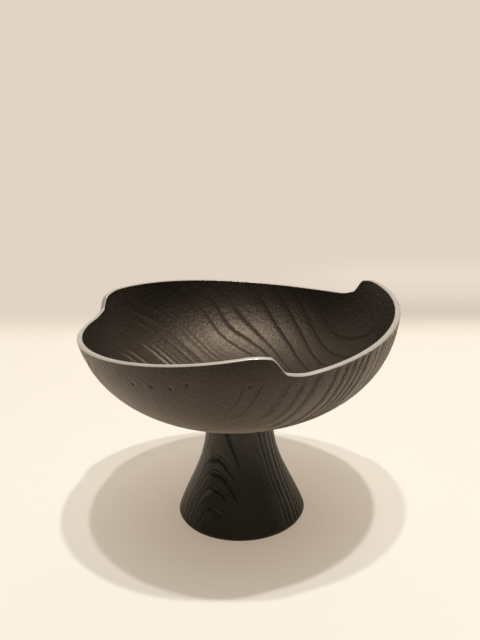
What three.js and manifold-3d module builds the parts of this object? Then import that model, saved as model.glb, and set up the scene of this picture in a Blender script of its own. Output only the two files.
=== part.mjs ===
// A footed fruit bowl of cast aluminium: a thin bowl with a three-crested rim, bolted to a hollow flared pedestal.
// Millimetres, +Z up. The origin is the centre of the foot, on the ground. Angles run anticlockwise from +X.

import * as THREE from 'three';
import * as BufferGeometryUtils from 'three/addons/utils/BufferGeometryUtils.js';
import Module from 'manifold-3d';

const wasm = await Module();
wasm.setup();

// Clearances between pieces
const seatGap = 0.3;
const spigotClearance = 0.4;
const screwClearance = 0.5;
const threadClearance = 0.3;

// Foot and pedestal
const ringThickness = 1.2;
const ringInset = 1.2;
const ringWidth = 5;
const footRadius = 53;
const footRounding = 1;
const footLand = 7;
const neckRadius = 27.3;
const pedestalHeight = 87.7;
const footHandleIn = 11.4;
const footHandleUp = 32;
const neckHandleIn = 0.7;
const neckHandleDown = 40.5;
const pedestalWall = 5;
const webThickness = 13;
const socketDepth = 5.5;

// Bowl
const bowlRadius = 127.6;
const bottomPower = 1.98;
const sidePower = 2.71;
const uprightAboveCrest = 14.4;
const wallThickness = 4.3;
const floorThickness = 9;
const floorFade = 6;
const rimCrown = 0.5;
const spigotRadius = 12;
const spigotGapBelow = 0.5;

// Rim: each of the three lobes climbs from its start to the next one's, where the edge drops in an S-shaped step.
// A start is an angle. The two ends of a lobe and the two pulls between them are the handles of a cubic curve
// along it, as heights above the seat on the pedestal. A step is a steep drop in the middle of a gentler one.
const steepHalfAngle = 2.8;
const gentleHalfAngle = 10.2;
const steepShare = 0.48;
const backStart = 29.8;
const backLowEnd = 77.9;
const backLowPull = 67;
const backHighPull = 89.2;
const backHighEnd = 88;
const leftStart = 156.8;
const leftLowEnd = 72.1;
const leftLowPull = 70.8;
const leftHighPull = 77.4;
const leftHighEnd = 91.4;
const rightStart = 282.5;
const rightLowEnd = 71.4;
const rightLowPull = 74.2;
const rightHighPull = 93.4;
const rightHighEnd = 95.3;

// Screw and washers, as for M8
const screwRadius = 4;
const screwReach = 8;
const screwTip = 1;
const holeBeyondScrew = 1.2;
const headAcrossFlats = 13;
const headHeight = 5.3;
const headChamfer = 0.9;
const washerRadius = 8;
const washerThickness = 1.6;
const springWasherRadius = 7;
const springWasherThickness = 2;
const springWasherSlot = 1.5;
const washerBoreClearance = 0.4;

// Counts of flat facets
const pedestalColumns = 64;
const smallColumns = 32;
const pedestalRows = 14;
const cavityRows = 7;
const bowlRows = 13;
const columnsPerStep = 8;
const columnsPerLobe = 28;

// Heights that follow from the sizes above
const pedestalBottom = ringThickness + seatGap;
const pedestalTop = pedestalBottom + pedestalHeight;
const webUnderside = pedestalTop - webThickness;
const seat = pedestalTop + seatGap;
const spigotDepth = socketDepth + seatGap - spigotGapBelow;
const spigotBottom = seat - spigotDepth;
const screwTipHeight = spigotBottom + screwReach;
const holeTop = screwTipHeight + holeBeyondScrew;

const turn = 2 * Math.PI;

const point = (radius, height) => new THREE.Vector2(radius, height);

const evenAngles = (count) => Array.from({ length: count }, (unused, column) => (turn * column) / count);

// A closed body turned about Z. The lathe gives the net of faces, and each column then takes the outline at its angle.
function turned(angles, outlineAt) {
  const rows = outlineAt(angles[0]);
  const geometry = new THREE.LatheGeometry(rows, angles.length);
  const position = geometry.getAttribute('position');
  [...angles, angles[0]].forEach((angle, column) => {
    outlineAt(angle).forEach(({ x, y }, row) => {
      position.setXYZ(column * rows.length + row, x * Math.cos(angle), x * Math.sin(angle), y);
    });
  });
  geometry.computeVertexNormals();
  return geometry;
}

function asSolid(geometry) {
  const bare = geometry.clone();
  bare.deleteAttribute('normal');
  bare.deleteAttribute('uv');
  const merged = BufferGeometryUtils.mergeVertices(bare);
  return new wasm.Manifold(new wasm.Mesh({
    numProp: 3,
    vertProperties: new Float32Array(merged.getAttribute('position').array),
    triVerts: new Uint32Array(merged.getIndex().array),
  }));
}

function asGeometry(solid) {
  const { vertProperties, triVerts } = solid.getMesh();
  const geometry = new THREE.BufferGeometry();
  geometry.setAttribute('position', new THREE.BufferAttribute(vertProperties, 3));
  geometry.setIndex(new THREE.BufferAttribute(triVerts, 1));
  geometry.computeVertexNormals();
  return geometry;
}

function piece(name, geometry, material) {
  const mesh = new THREE.Mesh(geometry, material);
  mesh.name = name;
  return mesh;
}

// The edge of the bowl

const lobes = [
  { start: backStart, heights: [backLowEnd, backLowPull, backHighPull, backHighEnd] },
  { start: leftStart, heights: [leftLowEnd, leftLowPull, leftHighPull, leftHighEnd] },
  { start: rightStart, heights: [rightLowEnd, rightLowPull, rightHighPull, rightHighEnd] },
];

// The handles' cubic at a share of the lobe, from 0 at its start to 1 at its end
function lobeHeight({ heights: [first, second, third, last] }, share) {
  const left = 1 - share;
  return left ** 3 * first + 3 * left ** 2 * share * second + 3 * left * share ** 2 * third + share ** 3 * last;
}

// How far an angle lies past a start, going anticlockwise
const degreesPast = (start, degrees) => (((degrees - start) % 360) + 360) % 360;

// How much of a step's drop is done, from 0 to 1, at an angle past its middle
function dropDone(past) {
  const steep = THREE.MathUtils.smoothstep(past, -steepHalfAngle, steepHalfAngle);
  const gentle = THREE.MathUtils.smoothstep(past, -gentleHalfAngle, gentleHalfAngle);
  return THREE.MathUtils.lerp(gentle, steep, steepShare);
}

// Height of the outer edge above the seat. Near a step it eases from the end of one lobe to the start of the next.
function edgeHeight(degrees) {
  const spans = lobes.map(({ start }, index) => degreesPast(start, lobes[(index + 1) % lobes.length].start));
  const index = lobes.findIndex(({ start }, at) => degreesPast(start, degrees) < spans[at]);
  const past = degreesPast(lobes[index].start, degrees);
  const before = (index + lobes.length - 1) % lobes.length;
  const after = (index + 1) % lobes.length;
  const own = lobeHeight(lobes[index], past / spans[index]);
  const left = spans[index] - past;
  if (past < gentleHalfAngle) {
    return THREE.MathUtils.lerp(lobeHeight(lobes[before], 1), own, dropDone(past));
  }
  if (left < gentleHalfAngle) {
    return THREE.MathUtils.lerp(own, lobeHeight(lobes[after], 0), dropDone(-left));
  }
  return own;
}

// Angles for the bowl's columns, closer together where the three steps are steep, in radians
function bowlAngles() {
  return lobes.flatMap(({ start }, index) => {
    const span = degreesPast(start, lobes[(index + 1) % lobes.length].start);
    const onStep = Array.from({ length: columnsPerStep }, (unused, column) => (
      start - steepHalfAngle + (2 * steepHalfAngle * column) / columnsPerStep
    ));
    const onLobe = Array.from({ length: columnsPerLobe }, (unused, column) => (
      start + steepHalfAngle + ((span - 2 * steepHalfAngle) * column) / columnsPerLobe
    ));
    return [...onStep, ...onLobe].map(THREE.MathUtils.degToRad);
  });
}

// The wall of the bowl

// The outside is a squared-off ellipse turned about Z. It would stand upright a little above the highest crest,
// and it meets the seat at the radius of the pedestal's neck.
const crest = Math.max(...lobes.flatMap(({ heights }) => heights));
const upright = seat + crest + uprightAboveCrest;
const neckShare = (1 - (neckRadius / bowlRadius) ** bottomPower) ** (1 / sidePower);
const curveDepth = (upright - seat) / neckShare;

// One point of the outside, with its outward direction. The bend runs from 0 at the axis to a quarter turn.
function outsideAt(bend) {
  const radius = bowlRadius * Math.sin(bend) ** (2 / bottomPower);
  const below = curveDepth * Math.cos(bend) ** (2 / sidePower);
  const outward = point(
    (bottomPower * (radius / bowlRadius) ** (bottomPower - 1)) / bowlRadius,
    (-sidePower * (below / curveDepth) ** (sidePower - 1)) / curveDepth,
  ).normalize();
  return { place: point(radius, upright - below), outward };
}

const bendAtHeight = (height) => Math.acos(((upright - height) / curveDepth) ** (sidePower / 2));

// The wall keeps its thickness square to the outside, and grows to the floor's towards the axis.
function insideAt(bend) {
  const { place, outward } = outsideAt(bend);
  const thickness = wallThickness + (floorThickness - wallThickness) * Math.cos(bend) ** floorFade;
  return point(Math.max(place.x - outward.x * thickness, 0), place.y - outward.y * thickness);
}

// The ground edge, from its outer corner to its inner one, with a low crown between softened corners
function rimOutline(bend) {
  const { place: outer, outward } = outsideAt(bend);
  const inner = insideAt(bend);
  const upwards = point(-outward.y, outward.x);
  return [0.12, 0.35, 0.65, 0.88].map((across) => {
    const rise = rimCrown * (1 - (2 * across - 1) ** 4);
    return outer.clone().lerp(inner, across).addScaledVector(upwards, rise);
  });
}

// Outline of the bowl at one angle: tapped hole, spigot, seat, outside, rim, inside, and back to the axis
function bowlOutline(angle) {
  const edge = seat + edgeHeight(THREE.MathUtils.radToDeg(angle));
  const seatBend = bendAtHeight(seat);
  const rimBend = bendAtHeight(edge);
  const threadRadius = screwRadius + threadClearance;
  const outside = Array.from({ length: bowlRows }, (unused, row) => (
    outsideAt(THREE.MathUtils.lerp(seatBend, rimBend, (row + 1) / bowlRows)).place
  ));
  const inside = Array.from({ length: bowlRows + 1 }, (unused, row) => (
    insideAt(rimBend * (1 - row / bowlRows))
  ));
  return [
    point(0, holeTop),
    point(threadRadius, holeTop),
    point(threadRadius, spigotBottom),
    point(spigotRadius, spigotBottom),
    point(spigotRadius, seat),
    point(neckRadius, seat),
    ...outside,
    ...rimOutline(rimBend),
    ...inside,
  ];
}

// The pedestal

// Its flare, from the foot up to the neck
const flare = new THREE.CubicBezierCurve(
  point(footRadius, pedestalBottom + footRounding),
  point(footRadius - footHandleIn, pedestalBottom + footHandleUp),
  point(neckRadius - neckHandleIn, pedestalTop - neckHandleDown),
  point(neckRadius, pedestalTop),
);

// A point of the flare, moved in by the wall square to it
function cavityPoint(along) {
  const tangent = flare.getTangent(along);
  return flare.getPoint(along).addScaledVector(point(-tangent.y, tangent.x), pedestalWall);
}

function pedestalOutline() {
  const cavity = Array.from({ length: cavityRows }, (unused, row) => cavityPoint((row + 1) / cavityRows))
    .filter(({ y }) => y > pedestalBottom + footLand && y < webUnderside - footLand);
  const rounded = footRounding * (1 - Math.SQRT1_2);
  const holeRadius = screwRadius + screwClearance;
  const socketRadius = spigotRadius + spigotClearance;
  return [
    point(footRadius - footLand, pedestalBottom),
    point(footRadius - footRounding, pedestalBottom),
    point(footRadius - rounded, pedestalBottom + rounded),
    ...flare.getPoints(pedestalRows),
    point(socketRadius, pedestalTop),
    point(socketRadius, pedestalTop - socketDepth),
    point(holeRadius, pedestalTop - socketDepth),
    point(holeRadius, webUnderside),
    point(cavity.at(-1).x, webUnderside),
    ...cavity.toReversed(),
    point(footRadius - footLand, pedestalBottom),
  ];
}

// The rubber ring under the foot
function ringOutline() {
  const outer = footRadius - ringInset;
  return [
    point(outer - ringWidth, 0),
    point(outer, 0),
    point(outer, ringThickness),
    point(outer - ringWidth, ringThickness),
    point(outer - ringWidth, 0),
  ];
}

// The fixing, with each piece's own origin at its upper face

function washerOutline() {
  const bore = screwRadius + washerBoreClearance;
  return [
    point(bore, -washerThickness),
    point(washerRadius, -washerThickness),
    point(washerRadius, 0),
    point(bore, 0),
    point(bore, -washerThickness),
  ];
}

// A flat ring with one slot across it
function springWasherGeometry() {
  const bore = screwRadius + washerBoreClearance;
  const outerSlot = Math.asin(springWasherSlot / 2 / springWasherRadius);
  const innerSlot = Math.asin(springWasherSlot / 2 / bore);
  const outline = new THREE.Shape();
  outline.absarc(0, 0, springWasherRadius, outerSlot, turn - outerSlot, false);
  outline.absarc(0, 0, bore, turn - innerSlot, innerSlot, true);
  outline.closePath();
  const geometry = new THREE.ExtrudeGeometry(outline, {
    depth: springWasherThickness,
    bevelEnabled: false,
    curveSegments: smallColumns,
  });
  return geometry.translate(0, 0, -springWasherThickness);
}

// A hexagon head with its lower corners chamfered, joined to a shank with a chamfered tip
function screwGeometry(shankLength) {
  const cornerRadius = headAcrossFlats / 2 / Math.cos(Math.PI / 6);
  const hexagon = new THREE.CylinderGeometry(cornerRadius, cornerRadius, headHeight, 6)
    .rotateX(Math.PI / 2)
    .translate(0, 0, -headHeight / 2);
  const chamfered = turned(evenAngles(smallColumns), () => [
    point(0, -headHeight),
    point(cornerRadius - 2 * headChamfer, -headHeight),
    point(cornerRadius, headChamfer - headHeight),
    point(cornerRadius, 0),
    point(0, 0),
  ]);
  const shank = turned(evenAngles(smallColumns), () => [
    point(0, -headHeight / 2),
    point(screwRadius, -headHeight / 2),
    point(screwRadius, shankLength - screwTip),
    point(screwRadius - screwTip, shankLength),
    point(0, shankLength),
  ]);
  return asGeometry(asSolid(hexagon).intersect(asSolid(chamfered)).add(asSolid(shank)));
}

// Materials

const coatedAluminium = new THREE.MeshStandardMaterial({ color: '#3b342d', roughness: 0.8, metalness: 0.2 });
const blackRubber = new THREE.MeshStandardMaterial({ color: '#1d1c1b', roughness: 0.9, metalness: 0 });
const platedSteel = new THREE.MeshStandardMaterial({ color: '#b4b3ae', roughness: 0.4, metalness: 0.9 });

// Assembly

const fruitBowl = new THREE.Group();
fruitBowl.add(piece('bowl', turned(bowlAngles(), bowlOutline), coatedAluminium.clone()));

const stand = new THREE.Group();
stand.add(piece('pedestal', turned(evenAngles(pedestalColumns), pedestalOutline), coatedAluminium.clone()));
stand.add(piece('foot_ring', turned(evenAngles(pedestalColumns), ringOutline), blackRubber));
fruitBowl.add(stand);

const washerTop = -seatGap;
const springWasherTop = washerTop - washerThickness - seatGap;
const headTop = springWasherTop - springWasherThickness - seatGap;

const fixing = new THREE.Group();
fixing.position.z = webUnderside;

const plainWasher = piece('plain_washer', turned(evenAngles(smallColumns), washerOutline), platedSteel.clone());
plainWasher.position.z = washerTop;
fixing.add(plainWasher);

const springWasher = piece('spring_washer', springWasherGeometry(), platedSteel.clone());
springWasher.position.z = springWasherTop;
fixing.add(springWasher);

const shankLength = screwTipHeight - webUnderside - headTop;
const clampScrew = piece('clamp_screw', screwGeometry(shankLength), platedSteel.clone());
clampScrew.position.z = headTop;
fixing.add(clampScrew);
fruitBowl.add(fixing);

export default fruitBowl;
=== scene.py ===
"""A footed fruit bowl of sand-cast aluminium: a black coating, cast wood grain and a bare ground rim."""

import math
from functools import lru_cache
from itertools import accumulate
from typing import NamedTuple

import bmesh
import bpy
from bpy.props import FloatProperty, FloatVectorProperty, PointerProperty
from mathutils import Matrix, Vector, noise


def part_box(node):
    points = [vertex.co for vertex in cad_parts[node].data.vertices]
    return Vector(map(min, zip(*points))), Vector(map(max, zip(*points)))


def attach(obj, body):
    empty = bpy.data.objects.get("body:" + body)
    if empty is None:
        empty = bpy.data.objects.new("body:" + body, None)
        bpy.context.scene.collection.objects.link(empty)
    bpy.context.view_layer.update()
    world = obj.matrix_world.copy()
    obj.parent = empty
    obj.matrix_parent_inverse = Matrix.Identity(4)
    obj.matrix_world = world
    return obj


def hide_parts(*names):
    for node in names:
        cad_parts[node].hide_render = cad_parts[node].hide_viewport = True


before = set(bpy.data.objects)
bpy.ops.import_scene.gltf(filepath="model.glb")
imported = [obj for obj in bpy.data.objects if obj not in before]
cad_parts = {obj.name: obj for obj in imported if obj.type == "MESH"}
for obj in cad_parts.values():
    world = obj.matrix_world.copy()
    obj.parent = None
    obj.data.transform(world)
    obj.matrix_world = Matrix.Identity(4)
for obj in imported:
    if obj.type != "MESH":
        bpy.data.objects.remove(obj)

bl_info = {
    "name": "Footed Fruit Bowl",
    "version": (1, 0, 0),
    "blender": (4, 5, 0),
    "location": "3D View > Sidebar > Fruit Bowl",
    "description": "Builds a cast fruit bowl with a stepped rim on a flared pedestal",
    "category": "Add Mesh",
}

MM = 0.001
PER_MM = (1 / MM,) * 3
TURN = 2 * math.pi
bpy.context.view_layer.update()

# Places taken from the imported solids
BOWL_LOW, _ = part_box("bowl")
PEDESTAL_LOW, PEDESTAL_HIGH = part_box("pedestal")
RING_LOW, RING_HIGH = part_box("foot_ring")
WASHER_LOW, WASHER_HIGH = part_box("plain_washer")
SPRING_LOW, SPRING_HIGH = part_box("spring_washer")
SCREW_LOW, SCREW_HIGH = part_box("clamp_screw")

# The bowl: a squared-off ellipse turned about Z, cut off along the rim
SEAT_GAP = 0.3 * MM
SEAT = PEDESTAL_HIGH.z + SEAT_GAP
BOWL_RADIUS = 127.6 * MM
NECK_RADIUS = 27.3 * MM
BOTTOM_POWER = 1.98
SIDE_POWER = 2.71
UPRIGHT_ABOVE_CREST = 14.4 * MM
WALL = 4.3 * MM
FLOOR = 9 * MM
FLOOR_FADE = 6
RIM_CROWN = 0.7 * MM
OUTSIDE_INSET = 0.1 * MM
SPIGOT_RADIUS = 12 * MM
SPIGOT_CHAMFER = 0.8 * MM
HOLE_RADIUS = 4.3 * MM
HOLE_BEYOND_SCREW = 1.2 * MM
HOLE_TOP = SCREW_HIGH.z + HOLE_BEYOND_SCREW
FILLET = 1.5 * MM

# The rim's three lobes: where each starts, in degrees, and the four handles of its height above the seat,
# in mm. Between two lobes the rim steps down: a steep drop in the middle of a gentler one.
STEEP_HALF_ANGLE = 2.8
GENTLE_HALF_ANGLE = 10.2
STEEP_SHARE = 0.48
LOBES = (
    (29.8, (77.9, 67.0, 89.2, 88.0)),
    (156.8, (72.1, 70.8, 77.4, 91.4)),
    (282.5, (71.4, 74.2, 93.4, 95.3)),
)

# The pedestal: a Bezier curve from the foot to the neck, turned about Z, with an even wall
FOOT_RADIUS = PEDESTAL_HIGH.x
FOOT_ROUNDING = 1 * MM
FOOT_LAND = 7 * MM
FOOT_HANDLE = (11.4 * MM, 32 * MM)
NECK_HANDLE = (0.7 * MM, 40.5 * MM)
PEDESTAL_WALL = 5 * MM
CAVITY_SHARES = (0.14, 0.82)
WEB = 13 * MM
SOCKET_DEPTH = 5.5 * MM
SOCKET_CLEARANCE = 0.4 * MM
SCREW_HOLE_RADIUS = 4.5 * MM

# The screw, its washers and the rubber ring
RING_WIDTH = 5 * MM
WASHER_BORE = 4.4 * MM
SPRING_STOCK = 1.6 * MM
SPRING_SLOT = 1.5 * MM
SCREW_RADIUS = 4 * MM
SCREW_TIP = 1 * MM
HEAD_HEIGHT = 5.3 * MM
HEAD_CHAMFER = 0.9 * MM
HALF_FLAT_ANGLE = 30
HEAD_CONE_SLOPE = 2
THREAD_PITCH = 1.25 * MM
THREAD_DEPTH = 0.6 * MM
PLAIN_SHANK = 1 * MM
THREAD_RUN_OUT = 0.08

# Wood grain. Growth rings lie round a pith line, given by a point on it in mm and its direction. Where a
# ring meets a surface it leaves a step, a valley or a ridge: its radius and depth, and a half width if it
# has one, all in mm.
BOWL_PITH = (Vector((127.4, 56.7, 152.7)) * MM, Vector((0.791, -0.184, -0.584)).normalized())
PEDESTAL_PITH = (Vector((-76.9, -150.9, 43.0)) * MM, Vector((0.662, -0.497, -0.561)).normalized())
INSIDE_STEPS = (
    (42.1, 0.6), (53.6, 0.65), (63.8, 0.65), (75.6, 0.7), (86.9, 0.55), (92.5, 0.7), (99.7, 0.6),
)
INSIDE_VALLEYS = (
    (107.5, 0.06, 0.6), (112.0, 0.06, 0.6), (116.3, 0.25, 0.6), (120.4, 0.2, 0.6),
    (128.1, 0.4, 2.2), (134.0, 0.35, 0.7), (138.5, 0.15, 0.6),
)
# Beyond this distance the inside is sunk, and its ridges stand up from there
RIDGED_FROM = 140.5
RIDGED_FADE = 2
RIDGED_DEPTH = 0.35
INSIDE_RIDGES = (
    (143.2, 0.7, 0.8), (147.0, 1.0, 0.9), (156.1, 0.9, 0.8), (160.6, 1.0, 0.8), (168.5, 0.6, 0.9),
    (177.0, 0.5, 1.0), (188.0, 0.6, 0.9), (199.0, 0.5, 1.0), (209.0, 0.5, 0.9),
)
# The inside's lines in order, with the ridges turned over so that they draw a bright painted highlight
RIDGE_BOLDNESS = 2.4
RIDGE_LINES = [(radius, -RIDGE_BOLDNESS * deep) for radius, deep, _ in INSIDE_RIDGES]
INSIDE_LINES = (*INSIDE_STEPS, *INSIDE_VALLEYS, *RIDGE_LINES)
# A shelf ends where the next one starts, and the last one at the third valley
SHELF_ENDS = (*INSIDE_STEPS[1:], INSIDE_VALLEYS[2])
SHELF_RISER = 2.0
SHELF_CURVE = 1.8
VALLEY_REACH = 3
VALLEY_CURVE = 1.5
OUTSIDE_STEPS = (
    (12.0, 0.4), (24.0, 0.5), (36.0, 0.6), (47.0, 0.6), (58.0, 0.6), (68.0, 0.7), (79.0, 0.6),
    (90.0, 0.7), (99.0, 0.45), (107.0, 0.45), (114.5, 0.45), (121.0, 0.45), (126.5, 0.45),
    (131.6, 0.55), (139.5, 0.3), (147.8, 0.9), (153.3, 0.9), (158.6, 0.9), (164.2, 0.9), (171.0, 0.8),
)
# These steps show only between two heights in mm, where the pattern was pressed deep enough
BROKEN_STEPS = (
    (181.4, 0.75, 118, 160),
    (187.5, 0.65, 126, 154),
    (194.0, 0.6, 134, 155),
    (200.6, 0.7, 103, 126),
    (203.2, 0.5, 136, 157),
    (207.5, 0.4, 143, 155),
    (210.5, 0.4, 104, 118),
    (213.4, 0.12, 149, 157),
)
BROKEN_FADE = 5
# How wide a step's drop is, how far from it the surface has climbed back, and how fast it climbs
STEP_RISER = 1.3
STEP_REACH = 9.0
STEP_CURVE = 1.6
# The pedestal's arches: radius, depth, and the two places across its front between which each is bold, in
# mm. Left of the first place an arch draws a bright line, and right of the second it is gone.
ARCHES = (
    (96.0, 0.85, -60, -30),
    (104.0, 0.85, -60, -28),
    (111.0, 0.85, -60, -26),
    (118.0, 0.85, -60, -25),
    (125.7, 0.25, -21, -17),
    (129.5, 0.6, -21, -15),
    (133.0, 0.8, -22, -6),
    (136.2, 0.8, -22, -7),
    (141.3, 0.7, -60, -3),
)
# Left of its first place an arch is turned over by this much: a raised ridge drawn with a painted highlight
ARCH_FAINT = -3.0
ARCH_FADE = 4
ARCH_REACH = 3.4
ARCH_RISER = 0.9
PEDESTAL_VALLEYS = (
    (154.6, 0.2, 1.2), (160.1, 0.6, 1.2), (164.4, 0.7, 1.2), (170.2, 0.85, 1.3), (175.8, 0.85, 1.3),
    (181.1, 0.85, 1.3), (186.9, 0.75, 1.3), (192.5, 0.85, 1.3), (198.0, 0.75, 1.3), (203.0, 0.85, 1.3),
    (208.6, 0.85, 1.3), (214.0, 0.75, 1.3), (219.0, 0.85, 1.3), (224.5, 0.85, 1.3), (230.0, 0.75, 1.3),
    (236.0, 0.85, 1.3),
)
# Small pits in the outside of the bowl: a place on each, its radius and depth, in mm
PITS = (
    ((-69.3, -100.3, 154.0), 1.1, 0.8),
    ((-56.4, -108.6, 155.2), 1.3, 0.9),
    ((-43.5, -114.4, 155.4), 1.3, 0.9),
    ((-32.0, -119.5, 159.9), 1.0, 0.8),
    ((7.9, -123.2, 158.8), 1.0, 0.8),
)
# How many of its radii a pit's slope reaches
PIT_EDGE = 2
# Where knots push the rings on the inside: a place seen from above, its reach and the push, in mm
RING_PUSHES = (
    ((-13.2, 117.5), 25.5, -24.3),
    ((77.7, 28.0), 22.7, -6.2),
    ((117.1, 48.3), 20.0, 15.9),
    ((-12.1, 150.0), 28.3, 42.8),
)
# The rings wander in long and in short waves: how long each is, and how far it reaches in mm
RING_WANDER = ((28 * MM, 0.7), (7 * MM, 0.25))
# How far below the rim's edge the relief starts to deepen, and where it has its full depth
RELIEF_FADE = (-0.2 * MM, 2.5 * MM)
# The relief and the lines fade out towards the top of the inside, and the bright ridges sooner
INSIDE_FADE = (144 * MM, 164 * MM)
RIDGE_FADE = (124 * MM, 136 * MM)
FADED_RELIEF = 0.3
NECK_FADE = 4 * MM
PEDESTAL_END_FADE = 0.03
# Each ring also draws a crisp line in the coating, within a span in mm, which sways a little. It has
# painted shade in its groove and a painted highlight on its lip.
LINE_SPAN = 2.6
LINE_SWAY = 0.22
LINE_LIP = 0.35
# From this height down to the seat the outside is duller, as hands don't rub it there
RUBBED_FROM = (90 * MM, 125 * MM)


class Finish(NamedTuple):
    """How the coating looks on one surface."""

    # The ring lines: half the groove's width in mm, the lip's height as a share, and how deep they look
    groove_half_width: float
    lip_share: float
    line_depth: float
    # The soft sheen, the shine, and the roughness between the grains and on them
    sheen: float
    shine: float
    dullest: float
    glossiest: float
    # How much rougher it gets low down, and how strongly its grains and lumps stand out
    dull_below: float
    roughcast: float


OUTSIDE_FINISH = Finish(0.45, 1.0, 0.4 * MM, 0.95, 0.6, 0.54, 0.36, 0.35, 0.6)
INSIDE_FINISH = Finish(1.3, 0.0, 0.25 * MM, 0.0, 0.78, 0.56, 0.4, 0.0, 0.65)
PEDESTAL_FINISH = Finish(0.7, 2.2, 0.8 * MM, 0.15, 0.58, 0.54, 0.36, 0.0, 0.2)

# Where noise and the ring lines start to tell in the coating's colours, and where they tell fully
NOISE_MIDDLE = (0.3, 0.7)
GRIT_SHOWS = (0.45, 0.65)
CLOUD_SHOWS = (0.3, 0.8)
# Painted shade in the carved grain, painted highlight on lips and ridges, painted shade in the grooves
GRAIN_SHADE_SHOWS = (0.3, 1.1, 0.0, 0.5)
LIP_HIGHLIGHT_SHOWS = (0.0, 0.7)
RIDGE_HIGHLIGHT_SHOWS = (0.9, 2.0)
GROOVE_SHOWS = (0.0, -0.45)
GROOVE_DULLNESS = 0.25
GRIT_DULLS = (0.35, 0.65)
SHEEN_ROUGHNESS = 0.4
# The coating's noises: how wide the clouds are, in mm, and each noise's detail and roughness
CLOUD_SIZE = 30
GRIT_NOISE = (2.0, 0.6)
SKIN_NOISE = (2.0, 0.5)
FIBRE_NOISE = (4.0, 0.55)
LINE_STRENGTH = 0.8
FIBRE_STRENGTH = 0.5
FIBRE_HEIGHT = 0.3 * MM

# Fineness of the meshes
BOWL_COLUMNS = 30
BOWL_SPACING = 3.4 * MM
BOWL_ROW = 3.0 * MM
# The rim's net: its average height as a share of the crest, its rows, and the narrow rows beside it
MIDDLING_RIM = 0.86
RIM_ROWS = 8
LIP = 0.6 * MM
# Faces are split within this many mm of a ring that isn't shallow, and where the relief bends away from a
# flat face by more than the error in mm
RING_REACH = 2.1
SHALLOW = 0.05
RELIEF_ERROR = 0.08
# The rim's steps, with a margin in degrees, and the pits, to some of their radii, are split more often
STEP_MARGIN = 4
STEP_SPLITS = 2
PIT_REACH = 2.5
PIT_SPLITS = 2
PEDESTAL_COLUMNS = 90
PEDESTAL_SPACING = 1.0 * MM
PEDESTAL_ROWS = 120
CAVITY_ROWS = 24
SMALL_COLUMNS = 48
ROWS_PER_PITCH = 8
CHAMFER_ROWS = 6
FLATS_ROWS = 2
SHARP_ANGLE = math.radians(30)
NEARLY = 1e-6
ROW_SLACK = 1e-4
# What each corner carries for the materials: its depth, and the phase and strength of its ring line
CARVED = "carved"
RING_PHASE = "ring_phase"
RING_STRENGTH = "ring_strength"

# The camera of the photograph, whose frame is 480 by 640 pixels
PHOTO_HEIGHT = 640
FOCAL_PIXELS = 719.04
CAMERA_PLACE = Vector((2.74, -545.96, 328.35)) * MM
CAMERA_DOWN = math.radians(16.51)
CAMERA_ROLL = math.radians(-1.53)
SENSOR = 36

# The sweep that the bowl stands on: a floor that curves up into a wall
SWEEP_FRONT = -0.45
SWEEP_BACK = 0.85
SWEEP_BEND = 0.45
SWEEP_HALF_WIDTH = 4.0
SWEEP_TOP = 4.0
SWEEP_BEND_STEPS = 24
SWEEP_TURN = math.radians(-4)
# The sweep's tones, by height: where the floor's tone turns into the wall's, and the middle and half width
# of two soft bands, which grow from left to right
TONE_RISE = (0.0, 0.021)
WALL_SHADE = (0.021, 0.013)
WALL_GLOW = (0.055, 0.03)
WALL_SIDE = (0.05, 0.2)
FLOOR_SHOWN_SHARE = 0.5
# Painted shadow round the foot: full within the first distance, in metres, and gone past the second
FOOT_SHADOW_REACH = (0.045, 0.125)

# Two small ceiling lamps, as the double edge of the shadow shows: the place and the watts of each
LAMPS = (
    ((0.278, -0.177, 2.276), 28.6),
    ((-0.038, -0.157, 2.276), 22.6),
)
LAMP_SIZE = 0.07
# The room in front of the bowl shows in its gloss: which way it lies and how wide it spreads
ROOM_FRONT = (0, -0.75, 0.66)
ROOM_FRONT_REACH = (0.65, 0.95)


def mix(start, end, share):
    return start + (end - start) * share


def smoothstep(low, high, value):
    share = min(max((value - low) / (high - low), 0.0), 1.0)
    return share * share * (3 - 2 * share)


def turned_place(radius, height, degrees):
    """A place, or a direction, at an angle round the axis."""
    angle = math.radians(degrees)
    return Vector((radius * math.cos(angle), radius * math.sin(angle), height))


def linear(hex_colour):
    """An sRGB hex colour as linear RGBA."""
    channels = [int(hex_colour[at : at + 2], 16) / 255 for at in (1, 3, 5)]
    return (*(c / 12.92 if c <= 0.04045 else ((c + 0.055) / 1.055) ** 2.4 for c in channels), 1.0)


# The curves of the bowl


def degrees_past(start, degrees):
    return (degrees - start) % 360


def bezier(handles, share):
    rest = 1 - share
    first, second, third, last = handles
    return rest**3 * first + 3 * rest**2 * share * second + 3 * rest * share**2 * third + share**3 * last


def drop_done(past):
    """How much of a step's drop is done at an angle past its middle."""
    steep = smoothstep(-STEEP_HALF_ANGLE, STEEP_HALF_ANGLE, past)
    gentle = smoothstep(-GENTLE_HALF_ANGLE, GENTLE_HALF_ANGLE, past)
    return mix(gentle, steep, STEEP_SHARE)


@lru_cache(maxsize=None)
def edge_height(degrees):
    """Height of the rim's outer corner above the seat, with a smooth step between one lobe and the next."""
    count = len(LOBES)
    spans = [degrees_past(LOBES[at][0], LOBES[(at + 1) % count][0]) for at in range(count)]
    at = next(i for i in range(count) if degrees_past(LOBES[i][0], degrees) < spans[i])
    past = degrees_past(LOBES[at][0], degrees)
    left = spans[at] - past
    own = bezier(LOBES[at][1], past / spans[at])
    if past < GENTLE_HALF_ANGLE:
        own = mix(bezier(LOBES[at - 1][1], 1), own, drop_done(past))
    elif left < GENTLE_HALF_ANGLE:
        own = mix(own, bezier(LOBES[(at + 1) % count][1], 0), drop_done(-left))
    return own * MM


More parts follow.
